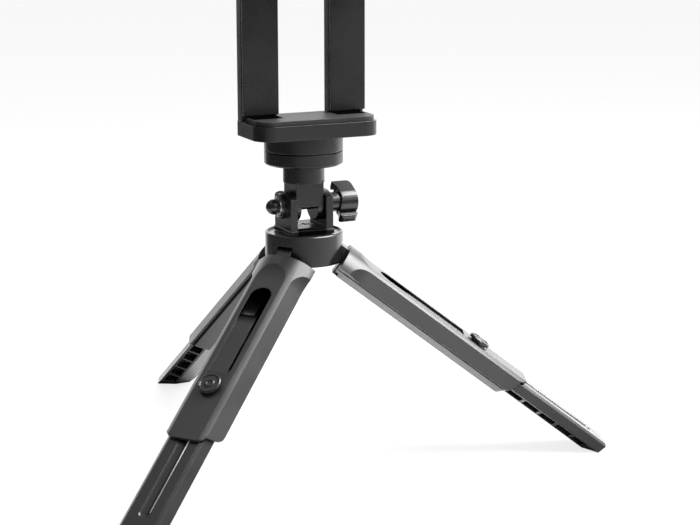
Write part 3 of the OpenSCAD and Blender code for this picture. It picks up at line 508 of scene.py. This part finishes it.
def knob_profile():
    """Section across the knob's axis: (towards the front face, along the wing)."""
    fold = math.acos(WING_BACK / BOSS_R)
    half = [(BOSS_R, 0.0), (BOSS_R, WING_TIP - WING_SHOULDER),
            (BOSS_R - WING_CUT, WING_TIP - WING_CUT), (BOSS_R - WING_ROUND, WING_TIP),
            (WING_BACK + WING_CUT, WING_TIP)]
    # Round ledges on the wing's inner face
    for inward in LEDGES:
        for k in range(ROUND_STEPS):
            turn = math.pi / 2 + math.pi * k / (ROUND_STEPS - 1)
            half.append((WING_BACK + LEDGE_DEEP * math.cos(turn),
                         WING_TIP - inward + LEDGE_HALF_H * math.sin(turn)))
    for k in range(ROUND_STEPS):
        angle = fold + (math.pi - fold) * k / ROUND_STEPS
        half.append((BOSS_R * math.cos(angle), BOSS_R * math.sin(angle)))
    return half + [(-d, -a) for d, a in half]


def knob_outline():
    """Side view of both wings: (along the axis, along the wing)."""
    shares = [(0.35, 0), (0.35, 0.4), (0.3, 0.6), (0.26, 0.74), (0.26, 0.84), (0.3, 0.93),
              (0.38, 0.98), (0.5, 1), (0.72, 1), (0.83, 0.97), (0.91, 0.89), (0.97, 0.76),
              (1, 0.6), (1, 0.3)]
    half = [(KNOB_X + deep * KNOB_DEEP, up * WING_TIP * OUTLINE_SPARE) for deep, up in shares]
    return half + [(x, -a) for x, a in half[:0:-1]]


def prism(name, ring_low, ring_high):
    """Closed prism between two rings, as a scratch object."""
    verts, faces = sweep([ring_low, ring_high])
    mesh = bpy.data.meshes.new(name)
    mesh.from_pydata(verts, [], faces)
    outward = bmesh.new()
    outward.from_mesh(mesh)
    bmesh.ops.recalc_face_normals(outward, faces=outward.faces)
    outward.to_mesh(mesh)
    outward.free()
    obj = bpy.data.objects.new(name, mesh)
    bpy.context.collection.objects.link(obj)
    return obj


PAST = 2 * MM
OUTLINE_HALF_W = 12 * MM
VOXEL = 0.2 * MM


def knob_wings():
    """The wings and boss: profile and outline crossed, then softened all over."""
    start = KNOB_X + BARREL_SHARE * KNOB_DEEP - PAST
    end = KNOB_X + KNOB_DEEP + PAST
    profile = prism("knob_profile", [Vector((start, -d, a)) for d, a in knob_profile()],
                    [Vector((end, -d, a)) for d, a in knob_profile()])
    outline = prism("knob_outline",
                    [Vector((x, -OUTLINE_HALF_W, a)) for x, a in knob_outline()],
                    [Vector((x, OUTLINE_HALF_W, a)) for x, a in knob_outline()])
    cross = profile.modifiers.new("cross", "BOOLEAN")
    cross.operation = "INTERSECT"
    cross.solver = "EXACT"
    cross.object = outline
    remesh = profile.modifiers.new("remesh", "REMESH")
    remesh.mode = "VOXEL"
    remesh.voxel_size = VOXEL
    soften = profile.modifiers.new("soften", "SMOOTH")
    soften.factor = 0.5
    soften.iterations = 8
    bpy.context.view_layer.update()
    shape = bpy.data.meshes.new_from_object(
        profile.evaluated_get(bpy.context.evaluated_depsgraph_get()))
    for scratch in (profile, outline):
        bpy.data.objects.remove(scratch)
    shape.transform(Matrix.Translation((0, 0, AXIS_Z)) @ Matrix.Rotation(-WING_LEAN, 4, "X"))
    shape.shade_smooth()
    obj = bpy.data.objects.new("knob_wings", shape)
    bpy.context.collection.objects.link(obj)
    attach(obj, "knob")
    dress(obj, "satin_black")
    return obj


BARREL_R = 4.8 * MM
BARREL_CHAMFER = 0.25 * MM
BARREL_SIDES = 72
NUT_ROOM_R = 4.12 * MM
NUT_ROOM_DEEP = 4.1 * MM
BOLT_ROOM_R = 2.6 * MM
BARREL_LAP = 0.4 * MM


def knob_barrel():
    """Turned collar of the knob, open round the nut and the bolt."""
    nut_end = KNOB_X + NUT_ROOM_DEEP
    end = KNOB_X + BARREL_SHARE * KNOB_DEEP + BARREL_LAP
    outline = [(KNOB_X, NUT_ROOM_R), (KNOB_X, BARREL_R - BARREL_CHAMFER),
               (KNOB_X + BARREL_CHAMFER, BARREL_R), (end, BARREL_R), (end, BOLT_ROOM_R),
               (nut_end, BOLT_ROOM_R), (nut_end, NUT_ROOM_R)]
    verts = [(x, r * math.cos(a), AXIS_Z + r * math.sin(a))
             for a in circle(BARREL_SIDES) for x, r in outline]
    size = len(outline)
    faces = [(i * size + k, i * size + (k + 1) % size,
              (i + 1) % BARREL_SIDES * size + (k + 1) % size,
              (i + 1) % BARREL_SIDES * size + k)
             for i in range(BARREL_SIDES) for k in range(size)]
    barrel = mesh_object("knob_barrel", verts, faces, "knob", "satin_black", smooth=False)
    barrel.data.shade_smooth()
    barrel.data.set_sharp_from_angle(angle=math.radians(35))
    return barrel


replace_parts(knob_wings(), "tilt_knob")
knob_barrel()

# ---------------------------------------------------------- studio, camera


def stage_plane(name, size, material):
    """Floor at height 0, part of the stage."""
    bpy.ops.mesh.primitive_plane_add(size=size)
    plane = bpy.context.object
    plane.name = name
    plane.data.materials.append(material)
    return plane


def area_light(name, place, target, size, power):
    """Softbox at a place, turned to a target."""
    data = bpy.data.lights.new(name, "AREA")
    data.shape = "RECTANGLE"
    data.size, data.size_y = size
    data.energy = power
    lamp = bpy.data.objects.new(name, data)
    bpy.context.collection.objects.link(lamp)
    lamp.location = place
    direction = Vector(target) - Vector(place)
    lamp.rotation_euler = direction.to_track_quat("-Z", "Y").to_euler()
    return lamp


CAMERA_RANGE = 942.16 * MM
CAMERA_DOWN = math.radians(12.27)
CAMERA_TURN = math.radians(24.2)
TARGET = Vector((20.37 * MM, -9.15 * MM, HUB_Z - 16.25 * MM))
LENS_MM = 99.15
SENSOR_MM = 36
ROLL = math.radians(-0.11)


def make_camera():
    """Camera fitted to the photo: range, drop, turn and roll about the target."""
    data = bpy.data.cameras.new("camera")
    data.sensor_width = SENSOR_MM
    data.lens = LENS_MM
    camera = bpy.data.objects.new("camera", data)
    bpy.context.collection.objects.link(camera)
    away = Vector((
        -math.sin(CAMERA_TURN) * math.cos(CAMERA_DOWN),
        -math.cos(CAMERA_TURN) * math.cos(CAMERA_DOWN),
        math.sin(CAMERA_DOWN),
    ))
    look = (-away).to_track_quat("-Z", "Y").to_matrix().to_4x4()
    camera.matrix_world = (
        Matrix.Translation(TARGET + away * CAMERA_RANGE) @ look @ Matrix.Rotation(ROLL, 4, "Z")
    )
    data.clip_start = 0.01
    bpy.context.scene.camera = camera


def white_to_camera(tree, shaded, kept):
    """Mixes a shaded surface with plain white where the eye sees it."""
    path = tree.nodes.new("ShaderNodeLightPath")
    seen = math_node(tree, "MAXIMUM", path.outputs["Is Camera Ray"],
                     path.outputs["Is Transmission Ray"])
    white = tree.nodes.new("ShaderNodeEmission")
    white.inputs["Color"].default_value = (1, 1, 1, 1)
    mix = tree.nodes.new("ShaderNodeMixShader")
    tree.links.new(math_node(tree, "MULTIPLY", seen, 1 - kept), mix.inputs[0])
    tree.links.new(shaded, mix.inputs[1])
    tree.links.new(white.outputs[0], mix.inputs[2])
    return mix.outputs[0]


SHEET_TURN = CAMERA_TURN + math.radians(14)
BEHIND = Vector((math.sin(SHEET_TURN), math.cos(SHEET_TURN), 0))


def behind_share(tree, place, narrow, wide):
    """1 in the sector behind the object, 0 outside, by horizontal direction."""
    flat = tree.nodes.new("ShaderNodeVectorMath")
    flat.operation = "MULTIPLY"
    flat.inputs[1].default_value = (1, 1, 0)
    tree.links.new(place, flat.inputs[0])
    unit = tree.nodes.new("ShaderNodeVectorMath")
    unit.operation = "NORMALIZE"
    tree.links.new(flat.outputs[0], unit.inputs[0])
    along = tree.nodes.new("ShaderNodeVectorMath")
    along.operation = "DOT_PRODUCT"
    along.inputs[1].default_value = BEHIND
    tree.links.new(unit.outputs[0], along.inputs[0])
    return ramp(tree, along.outputs["Value"], math.cos(wide), math.cos(narrow), 0, 1)


# Painted light on the floor, seen in reflections: its side, reach and tones
PAINTED_LIGHT_SIDE = (0.5, -0.85, 0)
PAINTED_LIGHT_REACH = (-0.1, 0.5)
PAINTED_LIGHT_TONES = (0.07, 0.44)
SWEEP_NARROW = math.radians(49)
SWEEP_WIDE = math.radians(60)
SHEET_WHITE = 0.84
NEAR_SHEET, FAR_SHEET = 0.22, 0.5
KEPT_SHADOW = 0.2


def floor_material():
    """White sheet to the eye; to reflections white near and behind, with painted shade
    elsewhere and a painted pool of light towards the front right.
    """
    material, tree, shader = new_material("pale_floor")
    place = object_coords(tree)
    length = tree.nodes.new("ShaderNodeVectorMath")
    length.operation = "LENGTH"
    tree.links.new(place, length.inputs[0])
    # Painted shade: away from the object and the sector behind, the floor is dim to reflections
    near = ramp(tree, length.outputs["Value"], NEAR_SHEET, FAR_SHEET, 1, 0)
    sheet = math_node(tree, "MAXIMUM", near,
                      behind_share(tree, place, SWEEP_NARROW, SWEEP_WIDE))
    # Painted light: the floor lighter towards the front right
    toward = tree.nodes.new("ShaderNodeVectorMath")
    toward.operation = "DOT_PRODUCT"
    toward.inputs[1].default_value = PAINTED_LIGHT_SIDE
    tree.links.new(place, toward.inputs[0])
    painted_light = ramp(tree, toward.outputs["Value"], *PAINTED_LIGHT_REACH, *PAINTED_LIGHT_TONES)
    path = tree.nodes.new("ShaderNodeLightPath")
    seen = math_node(tree, "MAXIMUM", sheet, path.outputs["Is Camera Ray"])
    white = math_node(tree, "MULTIPLY", seen, SHEET_WHITE)
    tree.links.new(math_node(tree, "MAXIMUM", white, painted_light), shader.inputs["Base Color"])
    shader.inputs["Roughness"].default_value = 0.8
    shader.inputs["Specular IOR Level"].default_value = 0.1
    out = tree.nodes["Material Output"]
    tree.links.new(white_to_camera(tree, shader.outputs[0], KEPT_SHADOW), out.inputs["Surface"])
    return material


def make_world(room, top, right, back):
    """Dim room with a bright sheet behind the object, white to the eye."""
    world = bpy.data.worlds.new("studio")
    world.use_nodes = True
    bpy.context.scene.world = world
    tree = world.node_tree
    soft = tree.nodes["Background"]
    soft.inputs["Color"].default_value = (1, 1, 1, 1)
    place = tree.nodes.new("ShaderNodeTexCoord").outputs["Generated"]
    split = tree.nodes.new("ShaderNodeSeparateXYZ")
    tree.links.new(place, split.inputs[0])
    high = ramp(tree, split.outputs["Z"], 0.45, 0.9, 0, top)
    side = ramp(tree, split.outputs["X"], 0.3, 0.9, 0, right)
    sheet = math_node(
        tree, "MULTIPLY",
        behind_share(tree, place, SWEEP_NARROW, SWEEP_WIDE),
        ramp(tree, split.outputs["Z"], 0.3, 0.8, back, 0),
    )
    total = math_node(tree, "ADD", math_node(tree, "ADD", high, side),
                      math_node(tree, "ADD", sheet, room))
    tree.links.new(total, soft.inputs["Strength"])
    white = tree.nodes.new("ShaderNodeBackground")
    white.inputs["Color"].default_value = (1, 1, 1, 1)
    path = tree.nodes.new("ShaderNodeLightPath")
    mix = tree.nodes.new("ShaderNodeMixShader")
    tree.links.new(path.outputs["Is Camera Ray"], mix.inputs[0])
    tree.links.new(soft.outputs[0], mix.inputs[1])
    tree.links.new(white.outputs[0], mix.inputs[2])
    tree.links.new(mix.outputs[0], tree.nodes["World Output"].inputs["Surface"])


make_camera()
make_world(room=0.1, top=0.65, right=0.9, back=1.85)
stage_plane("floor", 6.0, floor_material())
MIDDLE = Vector((0, 0, 0.1))
KEY_FROM = Vector((0.58, -0.2, 0.79)).normalized()
KEY_RANGE = 0.95
area_light("key_softbox", KEY_FROM * KEY_RANGE + MIDDLE, MIDDLE, (0.68, 0.68), 26)
FILL_FROM = Vector((0.3, -0.8, 0.53)).normalized()
FILL_RANGE = 1.1
area_light("front_fill", FILL_FROM * FILL_RANGE + MIDDLE, MIDDLE, (0.7, 0.5), 1.8)

bpy.context.scene.view_settings.view_transform = "Standard"
